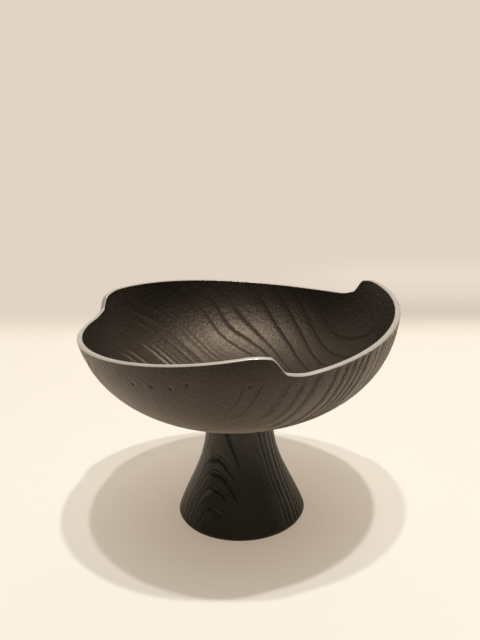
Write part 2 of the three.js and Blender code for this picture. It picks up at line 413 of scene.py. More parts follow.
CREST = max(height for _, handles in LOBES for height in handles) * MM
UPRIGHT = SEAT + CREST + UPRIGHT_ABOVE_CREST
CURVE_DEPTH = (UPRIGHT - SEAT) / (1 - (NECK_RADIUS / BOWL_RADIUS) ** BOTTOM_POWER) ** (1 / SIDE_POWER)


def outward_at(radius, height):
    """Direction square to the bowl's outside, as its radial and upward parts."""
    radial = BOTTOM_POWER * (radius / BOWL_RADIUS) ** (BOTTOM_POWER - 1) / BOWL_RADIUS
    upward = -SIDE_POWER * ((UPRIGHT - height) / CURVE_DEPTH) ** (SIDE_POWER - 1) / CURVE_DEPTH
    length = math.hypot(radial, upward)
    return radial / length, upward / length


def outside_at(bend):
    """Radius and height on the outside. The bend runs from 0 at the axis to a quarter turn."""
    radius = BOWL_RADIUS * math.sin(bend) ** (2 / BOTTOM_POWER)
    return radius, UPRIGHT - CURVE_DEPTH * math.cos(bend) ** (2 / SIDE_POWER)


def inside_at(bend):
    """Radius and height on the inside, where the wall thickens towards the axis."""
    radius, height = outside_at(bend)
    radial, upward = outward_at(radius, height)
    wall = WALL + (FLOOR - WALL) * math.cos(bend) ** FLOOR_FADE
    return max(radius - radial * wall, 0.0), height - upward * wall


def bend_at(height):
    return math.acos(((UPRIGHT - height) / CURVE_DEPTH) ** (SIDE_POWER / 2))


@lru_cache(maxsize=None)
def rim_bend(degrees):
    return bend_at(SEAT + edge_height(degrees))


SEAT_BEND = bend_at(SEAT)
LIP_BEND = LIP / BOWL_RADIUS


def outside_curve(share, degrees):
    return outside_at(mix(SEAT_BEND, rim_bend(degrees) - LIP_BEND, share))


def outer_lip_curve(share, degrees):
    return outside_at(rim_bend(degrees) - LIP_BEND * (1 - share))


def rim_curve(share, degrees):
    """The ground edge, from its outer corner to its inner one, with a low crown."""
    outer = outside_at(rim_bend(degrees))
    inner = inside_at(rim_bend(degrees))
    radial, upward = outward_at(*outer)
    rise = RIM_CROWN * (1 - (2 * share - 1) ** 2)
    return mix(outer[0], inner[0], share) - upward * rise, mix(outer[1], inner[1], share) + radial * rise


def inner_lip_curve(share, degrees):
    return inside_at(rim_bend(degrees) - LIP_BEND * share)


def inside_curve(share, degrees):
    return inside_at((rim_bend(degrees) - LIP_BEND) * (1 - share))


# The curve of the pedestal

FLARE = (
    (FOOT_RADIUS, PEDESTAL_LOW.z + FOOT_ROUNDING),
    (FOOT_RADIUS - FOOT_HANDLE[0], PEDESTAL_LOW.z + FOOT_HANDLE[1]),
    (NECK_RADIUS - NECK_HANDLE[0], PEDESTAL_HIGH.z - NECK_HANDLE[1]),
    (NECK_RADIUS, PEDESTAL_HIGH.z),
)


def flare_at(share):
    return tuple(bezier([corner[part] for corner in FLARE], share) for part in range(2))


def flare_outward(share):
    """Direction square to the flare, away from the axis, as its radial and upward parts."""
    rest = 1 - share
    run, rise = (
        sum(
            weight * (FLARE[at + 1][part] - FLARE[at][part])
            for at, weight in enumerate((rest**2, 2 * rest * share, share**2))
        )
        for part in range(2)
    )
    length = math.hypot(run, rise)
    return rise / length, -run / length


def flare_curve(share, degrees):
    return flare_at(share)


def cavity_curve(share, degrees):
    """The inside of the pedestal's wall, from the web down to the foot's land."""
    along = mix(CAVITY_SHARES[1], CAVITY_SHARES[0], share)
    radius, height = flare_at(along)
    radial, upward = flare_outward(along)
    return radius - radial * PEDESTAL_WALL, height - upward * PEDESTAL_WALL


# Turned meshes. A wall is a list of stretches, each a count of rows and a curve that gives the radius and
# height at a share of the stretch and an angle in degrees.


def straight(start, end):
    """A curve for a straight stretch between two corners, each a radius and a height."""
    return lambda share, degrees: (mix(start[0], end[0], share), mix(start[1], end[1], share))


def polyline(corners):
    return [(1, straight(start, end)) for start, end in zip(corners, corners[1:])]


def wall_at(stretches, row, degrees):
    """Radius and height at a row, which need not be whole."""
    for count, curve in stretches:
        if row <= count + NEARLY:
            return curve(min(max(row / count, 0.0), 1.0), degrees)
        row -= count
    raise ValueError("row beyond the wall's end")


def doublings(radius, columns, spacing):
    """How often a row's columns are doubled so that they lie no further apart than the spacing."""
    return max(0, math.ceil(math.log2(max(TURN * radius / (columns * spacing), 1))))


def drum_place(spot):
    """Row and angle in degrees of a spot on the drum."""
    return round(spot.z, 5), round(math.degrees(math.atan2(spot.y, spot.x)), 5)


def spin(bm, geom, angle, steps, merge=False, rise=0.0):
    """Turns a profile about Z, and lifts it at each step."""
    bmesh.ops.spin(
        bm,
        geom=geom,
        cent=(0, 0, 0),
        axis=(0, 0, 1),
        dvec=(0, 0, rise),
        angle=angle,
        steps=steps,
        use_merge=merge,
        use_normal_flip=False,
        use_duplicate=False,
    )


def turned_mesh(stretches, columns, spacing, finer=(), closed=False):
    """Turns a wall about Z.

    A net is first turned as a plain drum whose height counts the rows. Wide rows get more columns, and each
    face that a test in finer picks is split in four. Only then does each corner move to its place on the
    wall. The row of each corner is kept in a layer.
    """
    total = sum(count for count, _ in stretches)
    radii = [wall_at(stretches, row, 0)[0] for row in range(total + 1)]
    last = total if closed else total + 1
    bm = bmesh.new()
    corners = [bm.verts.new((min(1, math.ceil(radius)), 0, row)) for row, radius in enumerate(radii[:last])]
    edges = [bm.edges.new(pair) for pair in zip(corners, corners[1:])]
    if closed:
        edges.append(bm.edges.new((corners[-1], corners[0])))
    spin(bm, corners + edges, TURN, columns, merge=True)
    bmesh.ops.remove_doubles(bm, verts=bm.verts[:], dist=ROW_SLACK)
    wanted = [doublings(radius, columns, spacing) for radius in radii]
    for level in range(1, max(wanted) + 1):
        around = []
        for edge in bm.edges:
            low, high = (round(vert.co.z) for vert in edge.verts)
            if low == high and wanted[low] >= level:
                around.append(edge)
        bmesh.ops.subdivide_edges(bm, edges=around, cuts=1, use_single_edge=True)
    for test in finer:
        picked = set()
        for face in bm.faces:
            if test(face):
                picked.update(face.edges)
        bmesh.ops.subdivide_edges(bm, edges=list(picked), cuts=1, use_grid_fill=True, use_single_edge=True)
    row_layer = bm.verts.layers.float.new("row")
    for vert in bm.verts:
        row, degrees = drum_place(vert.co)
        vert.co = turned_place(*wall_at(stretches, row, degrees), degrees)
        vert[row_layer] = row
    bmesh.ops.recalc_face_normals(bm, faces=bm.faces[:])
    return bm, row_layer


def round_edges(bm, width, segments=2, below=math.inf):
    """Rounds every sharp edge that lies below a height."""
    sharp = [
        edge
        for edge in bm.edges
        if max(vert.co.z for vert in edge.verts) < below and edge.calc_face_angle(0) > SHARP_ANGLE
    ]
    shape = {"segments": segments, "profile": 0.5, "affect": "EDGES", "material": -1}
    bmesh.ops.bevel(bm, geom=sharp, offset=width, **shape)


def finish_piece(bm, name, materials, node):
    """Makes the mesh an object that stands for its CAD node."""
    bmesh.ops.recalc_face_normals(bm, faces=bm.faces[:])
    mesh = bpy.data.meshes.new(name)
    bm.to_mesh(mesh)
    bm.free()
    for polygon in mesh.polygons:
        polygon.use_smooth = True
    for material in materials:
        mesh.materials.append(material)
    piece = bpy.data.objects.new(name, mesh)
    bpy.context.scene.collection.objects.link(piece)
    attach(piece, "root")
    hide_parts(node)
    return piece


# Wood grain


@lru_cache(maxsize=None)
def wander(x, y, z):
    place = Vector((x, y, z))
    return sum(reach * noise.noise(place / length) for length, reach in RING_WANDER)


def ring_distance(place, pith):
    """Distance from the pith line in mm, with the slow wander that real growth rings have."""
    point, direction = pith
    away = place - point
    away = away - direction * away.dot(direction)
    return away.length / MM + wander(*place)


def inside_distance(place):
    """The ring distance on the inside of the bowl, pushed in a few places."""
    pushed = 0.0
    for (x, y), reach, push in RING_PUSHES:
        away = math.hypot(place.x / MM - x, place.y / MM - y)
        pushed += push * math.exp(-(away**2) / (2 * reach**2))
    return ring_distance(place, BOWL_PITH) + pushed


def valley(distance, rings):
    """Depth in mm of soft-sided valleys."""
    depth = 0.0
    for radius, deep, half_width in rings:
        off = abs(distance - radius) / half_width
        if off < VALLEY_REACH:
            depth = max(depth, deep * math.exp(-(off**VALLEY_CURVE)))
    return depth


def terrace(distance, rings, riser, reach):
    """Depth in mm of shingled steps: each drops at its ring and climbs back slowly, away from the pith."""
    for (low, deep, *_), (high, *_) in zip(rings, rings[1:]):
        if low <= distance < high:
            past = distance - low
            climb = max(0.0, 1 - past / min(high - low, reach)) ** STEP_CURVE
            return deep * climb * smoothstep(0, riser, past)
    return 0.0


def shelf(distance):
    """Depth in mm of the inside's shelves: each drops at its ring, then rises ever faster to its end."""
    for (low, deep), (high, *_) in zip(INSIDE_STEPS, SHELF_ENDS):
        if low <= distance < high:
            past = distance - low
            return deep * (1 - (past / (high - low)) ** SHELF_CURVE) * smoothstep(0, SHELF_RISER, past)
    return 0.0


def ring_line(distance, rings):
    """Phase and strength of the ring line at a distance.

    The phase climbs by one across each line and rests between lines, so it has no jumps. Rings with a
    negative depth draw a bright line, a painted highlight.
    """
    for number, (radius, deep, *_) in enumerate(rings):
        off = (distance - radius) / LINE_SPAN
        if off < 0.5:
            return number + max(off, -0.5), deep
    return len(rings) - 0.5, 0.0


def inside_shown(strength, height):
    """How much of an inside line shows at a height: the sand took the upper parts less deeply."""
    fade = INSIDE_FADE if strength > 0 else RIDGE_FADE
    return 1 - smoothstep(*fade, height)


def inside_relief(place):
    distance = inside_distance(place)
    depth = max(valley(distance, INSIDE_VALLEYS), shelf(distance + SHELF_RISER / 2))
    ridged = smoothstep(RIDGED_FROM - RIDGED_FADE, RIDGED_FROM + RIDGED_FADE, distance)
    if ridged > 0:
        proud = valley(distance, INSIDE_RIDGES)
        depth = max(depth, ridged * RIDGED_DEPTH * (1 - proud))
    return depth


@lru_cache(maxsize=None)
def outside_rings(height):
    """The outside's rings, with the depths that they have at a height in mm."""
    broken = []
    for radius, deep, low, high in BROKEN_STEPS:
        sunk = smoothstep(low - BROKEN_FADE, low, height) - smoothstep(high, high + BROKEN_FADE, height)
        broken.append((radius, deep * sunk))
    return (*OUTSIDE_STEPS, *broken)


@lru_cache(maxsize=None)
def pedestal_rings(across, in_front):
    """The pedestal's arches and grooves, with the depths that the arches have at a place across, in mm."""
    arches = []
    for radius, deep, start, end in ARCHES:
        bold = mix(ARCH_FAINT, 1, smoothstep(start - ARCH_FADE, start, across))
        shown = bold * (1 - smoothstep(end, end + ARCH_FADE, across)) if in_front else 1
        arches.append((radius, deep * shown))
    return (*arches, *PEDESTAL_VALLEYS)


def rings_by(place, inside):
    """The ring distance at a place on the bowl, and the rings of its side."""
    if inside:
        return inside_distance(place), INSIDE_LINES
    return ring_distance(place, BOWL_PITH), outside_rings(round(place.z / MM, 1))


def outside_relief(place):
    depth = terrace(*rings_by(place, False), STEP_RISER, STEP_REACH)
    for spot, radius, deep in PITS:
        off = (place - Vector(spot) * MM).length / (radius * MM)
        if off < PIT_EDGE:
            depth = max(depth, deep * math.exp(-(off**2)))
    return depth


def pedestal_rings_by(place):
    """The ring distance at a place on the pedestal, and the rings there."""
    return ring_distance(place, PEDESTAL_PITH), pedestal_rings(round(place.x / MM, 1), place.y < 0)


def pedestal_relief(place):
    distance, rings = pedestal_rings_by(place)
    arches = rings[: len(ARCHES) + 1]
    return max(terrace(distance, arches, ARCH_RISER, ARCH_REACH), valley(distance, PEDESTAL_VALLEYS))


def near_pit(place):
    return any((place - Vector(spot) * MM).length < PIT_REACH * radius * MM for spot, radius, _ in PITS)


def near_ring(distance, rings):
    return any(abs(distance - ring[0]) < RING_REACH and abs(ring[1]) > SHALLOW for ring in rings)


def grain_layers(bm):
    return [bm.verts.layers.float.new(name) for name in (CARVED, RING_PHASE, RING_STRENGTH)]


# Materials


def add_node(tree, kind, inputs=(), **settings):
    """Adds a node with its settings and links.

    Inputs go by name, or in the node's order. Each is a value, a socket, or a node for its first output.
    """
    made = tree.nodes.new(f"ShaderNode{kind}")
    for name, value in settings.items():
        setattr(made, name, value)
    shown = [socket for socket in made.inputs if socket.enabled]
    for key, value in inputs.items() if isinstance(inputs, dict) else enumerate(inputs):
        socket = made.inputs[key] if isinstance(key, str) else shown[key]
        if isinstance(value, bpy.types.Node):
            value = next(output for output in value.outputs if output.enabled)
        if isinstance(value, bpy.types.NodeSocket):
            tree.links.new(value, socket)
        else:
            socket.default_value = value
    return made


def empty_tree(owner):
    owner.use_nodes = True
    owner.node_tree.nodes.clear()
    return owner.node_tree


def new_material(name):
    """A material, its empty tree, and a place on the object in metres and in mm."""
    material = bpy.data.materials.new(name)
    tree = empty_tree(material)
    place = add_node(tree, "TexCoord").outputs["Object"]
    return material, tree, place, add_node(tree, "Mapping", {"Vector": place, "Scale": PER_MM})


def finish_material(material, look):
    """Gives the material a Principled surface."""
    surface = add_node(material.node_tree, "BsdfPrincipled", look)
    add_node(material.node_tree, "OutputMaterial", {"Surface": surface})
    return material


def lay_over(tree, under, tone, pattern, low, high, *strength):
    """Lays a tone over what is under it, more and more as a pattern goes from low to high.

    The strength at the two ends is 0 and 1, unless it is given.
    """
    share = add_node(tree, "MapRange", (pattern, low, high, *strength))
    return add_node(tree, "Mix", (share, under, tone), data_type="RGBA")


def soft_line(tree, off, middle, half_width):
    """1 along the middle, falling smoothly to 0 at the half width."""
    beside = add_node(tree, "Math", (off, middle), operation="SUBTRACT")
    near = add_node(tree, "Math", (beside,), operation="ABSOLUTE")
    return add_node(tree, "MapRange", (near, 0.0, half_width, 1.0, 0.0), interpolation_type="SMOOTHSTEP")


def ring_line_height(tree, ragged, finish):
    """Height of the fine ring lines: a ragged groove at each ring, and a low lip beside it, or reversed."""
    phase = add_node(tree, "Attribute", attribute_name=RING_PHASE).outputs["Fac"]
    strength = add_node(tree, "Attribute", attribute_name=RING_STRENGTH).outputs["Fac"]
    wrapped = add_node(tree, "Math", (phase, 0.5, -0.5), operation="WRAP")
    sway = add_node(tree, "MapRange", (ragged, *NOISE_MIDDLE, -LINE_SWAY, LINE_SWAY))
    off = add_node(tree, "Math", (wrapped, LINE_SPAN, sway), operation="MULTIPLY_ADD")
    groove = soft_line(tree, off, 0.0, finish.groove_half_width)
    lip = soft_line(tree, off, finish.groove_half_width, LINE_LIP)
    low_lip = add_node(tree, "Math", (lip, finish.lip_share), operation="MULTIPLY")
    profile = add_node(tree, "Math", (low_lip, groove), operation="SUBTRACT")
    return add_node(tree, "Math", (profile, strength), operation="MULTIPLY")


def coated_casting(name, pith, settings, tones, finish):
    """Sand-cast aluminium with a baked, textured black coating.

    The sand's grains catch the lamps as fine sparkle on a satin black. They are drawn about a millimetre
    wide, coarser than real ones, so that they show. Faint fibres run along the pith. The carved grain and
    the ring grooves are painted darker, as painted shade, and the lips beside the grooves and the ridge
    lines lighter, as a painted highlight.
    """
    coat, raised, gloss = tones
    material, tree, place, in_mm = new_material(name)
    point, direction = pith
    turned = {"Vector": place, "Location": point, "Rotation": direction.to_track_quat("Z", "Y").to_euler()}
    along_pith = add_node(tree, "Mapping", turned, vector_type="TEXTURE")
    stretched = {"Vector": along_pith, "Scale": (1 / MM, 1 / MM, settings.fibre_stretch / MM)}
    fibres = add_node(tree, "Mapping", stretched)
    grit = add_node(tree, "TexNoise", (in_mm, MM / settings.grit_size, *GRIT_NOISE))
    skin = add_node(tree, "TexNoise", (in_mm, MM / settings.skin_size, *SKIN_NOISE))
    fibre = add_node(tree, "TexNoise", (fibres, MM / settings.fibre_width, *FIBRE_NOISE))
    cloud = add_node(tree, "TexNoise", (in_mm, 1 / CLOUD_SIZE, *SKIN_NOISE))
    carved = add_node(tree, "Attribute", attribute_name=CARVED).outputs["Fac"]
    height = add_node(tree, "SeparateXYZ", (place,)).outputs["Z"]
    line = ring_line_height(tree, skin, finish)
    coloured = coat
    # Over the coat's own grit and clouds: painted shade in grain and grooves, a painted highlight on lips
    # and ridges
    for tone, pattern, shows in (
        (raised, grit, GRIT_SHOWS),
        (coat, cloud, CLOUD_SHOWS),
        (settings.groove_shade_colour, carved, GRAIN_SHADE_SHOWS),
        (lay_over(tree, raised, settings.ridge_highlight_colour, line, *RIDGE_HIGHLIGHT_SHOWS), line, LIP_HIGHLIGHT_SHOWS),
        (settings.groove_shade_colour, line, GROOVE_SHOWS),
    ):
        coloured = lay_over(tree, coloured, tone, pattern, *shows)
    rough = add_node(tree, "MapRange", (grit, *GRIT_DULLS, finish.dullest, finish.glossiest))
    for dulled in (
        (height, *RUBBED_FROM, finish.dull_below, 0.0),
        (line, *GROOVE_SHOWS, 0.0, GROOVE_DULLNESS),
    ):
        rough = add_node(tree, "Math", (rough, add_node(tree, "MapRange", dulled)), operation="ADD")
    bent = {}
    for pattern, strength, depth in (
        (line, LINE_STRENGTH, finish.line_depth),
        (fibre, FIBRE_STRENGTH, FIBRE_HEIGHT),
        (skin, finish.roughcast, settings.skin_height),
        (grit, finish.roughcast, settings.grit_height),
    ):
        bump = {"Height": pattern, "Strength": strength, "Distance": depth, **bent}
        bent = {"Normal": add_node(tree, "Bump", bump)}
    look = {
        "Base Color": coloured,
        "Roughness": rough,
        "Specular IOR Level": finish.shine,
        "Specular Tint": gloss,
        "Sheen Weight": finish.sheen,
        "Sheen Roughness": SHEEN_ROUGHNESS,
        "Sheen Tint": gloss,
        **bent,
    }
    return finish_material(material, look)


def mottled(name, tones, mottle, mottle_shows, roughness, marks, mark_bumps, look):
    """A material with a soft mottle in its tone and gloss, and small marks in its skin.

    The mottle and the marks each have a size in mm and a detail, and the marks a strength and a height.
    """
    material, tree, _, in_mm = new_material(name)
    spots, scratches = (
        add_node(tree, "TexNoise", (in_mm, 1 / size, detail)) for size, detail in (mottle, marks)
    )
    strength, depth = mark_bumps
    mottled_look = {
        "Base Color": lay_over(tree, *tones, spots, *mottle_shows),
        "Roughness": add_node(tree, "MapRange", (spots, *NOISE_MIDDLE, *roughness)),
        "Normal": add_node(tree, "Bump", {"Height": scratches, "Strength": strength, "Distance": depth}),
    }
    return finish_material(material, {**mottled_look, **look})


def bare_rim(settings):
    """Cast aluminium ground by hand on a belt, then lacquered: an even pale grey with a soft gloss."""
    return mottled(
        "bare_ground_aluminium",
        tones=(settings.rim_colour, settings.rim_dull_colour),
        mottle=(1.2, 4.0),
        mottle_shows=(0.0, 1.0),
        roughness=(0.38, 0.5),
        marks=(1.2, 4.0),
        mark_bumps=(0.3, 0.1 * MM),
        look={"Metallic": 0.2, "Coat Weight": 0.7, "Coat Roughness": 0.2},
    )


def plated_steel(settings):
    """Zinc-plated steel, barrel-plated: bluish silver with a soft mottle and small handling marks."""
    return mottled(
        "zinc_plated_steel",
        tones=(settings.plating_colour, settings.dull_plating_colour),
        mottle=(2.5, 3.0),
        mottle_shows=(0.35, 0.65),
        roughness=(0.3, 0.48),
        marks=(0.4, 2.0),
        mark_bumps=(0.25, 0.05 * MM),
        look={"Metallic": 1.0},
    )


def moulded_rubber(settings):
    """Black moulded rubber: deep matt grey-black, slightly bloomed where it is handled."""
    return mottled(
        "black_moulded_rubber",
        tones=(settings.rubber_colour, settings.bloom_colour),
        mottle=(6.0, 3.0),
        mottle_shows=(0.4, 0.75),
        roughness=(0.75, 0.9),
        marks=(0.35, 2.0),
        mark_bumps=(0.3, 0.05 * MM),
        look={"Specular IOR Level": 0.4},
    )


def seen_rays(tree):
    """1 for rays from the camera, from gloss and through glass, and 0 for rays that carry light."""
    path = add_node(tree, "LightPath").outputs
    seen = path["Is Camera Ray"]
    for ray in ("Is Glossy Ray", "Is Transmission Ray"):
        seen = add_node(tree, "Math", (seen, path[ray]), operation="MAXIMUM")
    return seen


def painted_sweep(settings):
    """Matt emulsion paint, pale cream. Seen plain it is warmer, with a faint painted shadow by the foot."""
    material = bpy.data.materials.new("painted_sweep")
    tree = empty_tree(material)
    place = add_node(tree, "TexCoord").outputs["Object"]
    across, _, height = add_node(tree, "SeparateXYZ", (place,)).outputs
    risen = add_node(tree, "MapRange", (height, *TONE_RISE), interpolation_type="SMOOTHSTEP")
    side = add_node(tree, "MapRange", (across, *WALL_SIDE))
    from_foot = add_node(tree, "VectorMath", (place,), operation="LENGTH")
    # A painted shadow round the foot, in the tone that the camera sees
    shown = lay_over(tree, settings.foot_shadow_colour, settings.shown_floor_colour, from_foot, *FOOT_SHADOW_REACH)
    shown = add_node(tree, "Mix", (risen, shown, settings.wall_colour), data_type="RGBA")
    for band, tone in ((WALL_GLOW, settings.glow_colour), (WALL_SHADE, settings.shade_colour)):
        share = add_node(tree, "Math", (soft_line(tree, height, *band), side), operation="MULTIPLY")
        shown = add_node(tree, "Mix", (share, shown, tone), data_type="RGBA")
    paint = add_node(tree, "Mix", (risen, settings.floor_colour, settings.wall_colour), data_type="RGBA")
    matt = add_node(tree, "BsdfDiffuse", {"Color": paint})
    plain = add_node(tree, "Emission", {"Color": shown, "Strength": 1.0})
    plain_share = add_node(tree, "MapRange", (risen, 0.0, 1.0, FLOOR_SHOWN_SHARE, 1.0))
    amount = add_node(tree, "Math", (seen_rays(tree), plain_share), operation="MULTIPLY")
    add_node(tree, "OutputMaterial", {"Surface": add_node(tree, "MixShader", (amount, matt, plain))})
    return material


# Settings


def length(name, description, millimetres):
    size = millimetres * MM
    return FloatProperty(name=name, description=description, unit="LENGTH", min=0.0, default=size)


def brightness(name, description, default):
    return FloatProperty(name=name, description=description, min=0.0, default=default)


def share_of(name, description, default):
    return FloatProperty(
        name=name, description=description, subtype="FACTOR", min=0.0, max=1.0, default=default
    )


def colour(name, description, hex_colour):
    tone = linear(hex_colour)
    return FloatVectorProperty(
        name=name, description=description, subtype="COLOR", size=4, min=0.0, max=1.0, default=tone
    )


class CastingSettings(bpy.types.PropertyGroup):
    """Relief and finish of the two castings"""

    grain_depth: share_of("Grain depth", "Share of the full depth of the grain relief", 1.0)
    rim_relief: share_of("Relief at the rim", "Share of the grain relief that reaches the rim", 0.4)
    grit_size: length("Grit size", "Size of the coating's sand grains", 1.2)
    grit_height: length("Grit height", "Height of the coating's sand grains", 0.45)
    skin_size: length("Skin size", "Size of the lumps in the cast skin", 3.5)
    skin_height: length("Skin height", "Height of the lumps in the cast skin", 0.5)
    fibre_width: length("Fibre width", "Width of the faint fibres along the grain", 1.6)
    fibre_stretch: share_of("Fibre stretch", "How much longer the fibres are than wide", 0.06)
    coat_colour: colour("Coat", "Coating on the flats", "#15120e")
    # The inside's coat and grit are darker copies of the outside's, as painted shade on the inside walls
    inside_shaded_colour: colour("Inside coat", "Coating on the flats inside the bowl", "#0b0a07")
    inside_shaded_grit_colour: colour("Inside grit", "Coating on the grains inside the bowl", "#1b1813")
    # The pedestal's coat and grit are lighter copies of the bowl's, as painted light on the pedestal in the
    # bowl's shadow
    pedestal_lit_colour: colour("Pedestal coat", "Coating on the pedestal's flats", "#353229")
    pedestal_lit_grit_colour: colour("Pedestal grit", "Coating on the pedestal's grains", "#3f3b30")
    grit_colour: colour("Grit", "Coating on the grains outside the bowl", "#2c2720")
    # Painted shade, laid in the carved grain and in the ring grooves
    groove_shade_colour: colour("Hollow", "Coating gathered in the grain", "#0f0d0a")
    # Painted highlight, laid on the lips beside the grooves and on the bright ridge lines
    ridge_highlight_colour: colour("Crest", "Coating rubbed thin on the ridges", "#62574a")
    gloss_colour: colour("Gloss", "Tint of the coating's sheen", "#ffe6cc")
    pedestal_gloss_colour: colour("Pedestal gloss", "Tint of the sheen on the pedestal", "#e8e0d0")
    rim_colour: colour("Rim", "Freshly ground metal", "#bab5ac")
    rim_dull_colour: colour("Dull rim", "Dulled metal", "#a6a197")


class FixingSettings(bpy.types.PropertyGroup):
    """Screw, washers and rubber ring"""

    head_rounding: length("Head rounding", "Rounding of the screw head's edges", 0.2)
    washer_rounding: length("Washer rounding", "Rounding of the washers' stamped edges", 0.2)
    rubber_rounding: length("Rubber rounding", "Rounding of the rubber ring's edges", 0.35)
    plating_colour: colour("Plating", "Zinc plating where it is bright", "#c9cacb")
    dull_plating_colour: colour("Dull plating", "Zinc plating where it is dull", "#a9abad")
    rubber_colour: colour("Rubber", "Rubber, fresh", "#1d1c1b")
    bloom_colour: colour("Bloom", "Rubber with its grey bloom", "#2b2a28")


class StageSettings(bpy.types.PropertyGroup):
    """Floor, wall and light"""

    floor_colour: colour("Floor", "Paint of the floor", "#f2f4f2")
    shown_floor_colour: colour("Shown floor", "Tone of the floor that lies in shade", "#ffeed7")
    # Painted shadow round the foot
    foot_shadow_colour: colour("Contact", "Tone of the floor close to the foot", "#e3ccb3")
    wall_colour: colour("Wall", "Paint of the wall behind", "#e1d4c5")
    glow_colour: colour("Wall glow", "Wall where the floor lights it", "#e9dccd")
    shade_colour: colour("Wall shade", "Wall just above the floor", "#d8cbbc")
    room_colour: colour("Room", "Tone of the room around", "#efe6da")
    lamp_colour: colour("Lamps", "Light of the lamps", "#fffaf4")
    room_light: brightness("Room light", "Light from all around", 0.02)
    room_shown: brightness("Room shown", "Brightness of the room in gloss", 0.03)
    room_front: brightness("Room in front", "Brightness of the room in front in gloss", 0.28)


# Making the bowl


def hole_thread(share, degrees):
    """The tapped hole's wall, from its top down to the spigot's end."""
    height = mix(HOLE_TOP, BOWL_LOW.z, share)
    return HOLE_RADIUS + THREAD_DEPTH * thread_wave(height, degrees), height


def thread_wave(height, degrees):
    return 0.5 - 0.5 * math.cos(TURN * (height / THREAD_PITCH - degrees / 360))


def thread_rows(length):
    return round(length / THREAD_PITCH * ROWS_PER_PITCH)


def bowl_stretches():
    """The bowl's wall from the top of its tapped hole, round the outside and over the rim to the inside."""
    middling_bend = bend_at(SEAT + CREST * MIDDLING_RIM)
    outside_rows = round((middling_bend - SEAT_BEND) * BOWL_RADIUS / BOWL_ROW)
    inside_rows = round(middling_bend * BOWL_RADIUS / BOWL_ROW)
    hole = [
        *polyline([(0, HOLE_TOP), (HOLE_RADIUS, HOLE_TOP)]),
        (thread_rows(HOLE_TOP - BOWL_LOW.z), hole_thread),
    ]
    spigot = polyline(
        [
            (HOLE_RADIUS, BOWL_LOW.z),
            (SPIGOT_RADIUS - SPIGOT_CHAMFER, BOWL_LOW.z),
            (SPIGOT_RADIUS, BOWL_LOW.z + SPIGOT_CHAMFER),
            (SPIGOT_RADIUS, SEAT),
            (SPIGOT_RADIUS + FILLET, SEAT),
            (NECK_RADIUS - FILLET, SEAT),
            (NECK_RADIUS, SEAT),
        ]
    )
    below = hole + spigot
    outside = [(outside_rows, outside_curve), (1, outer_lip_curve)]
    inside = [(1, inner_lip_curve), (inside_rows, inside_curve)]
    return below, outside, [(RIM_ROWS, rim_curve)], inside


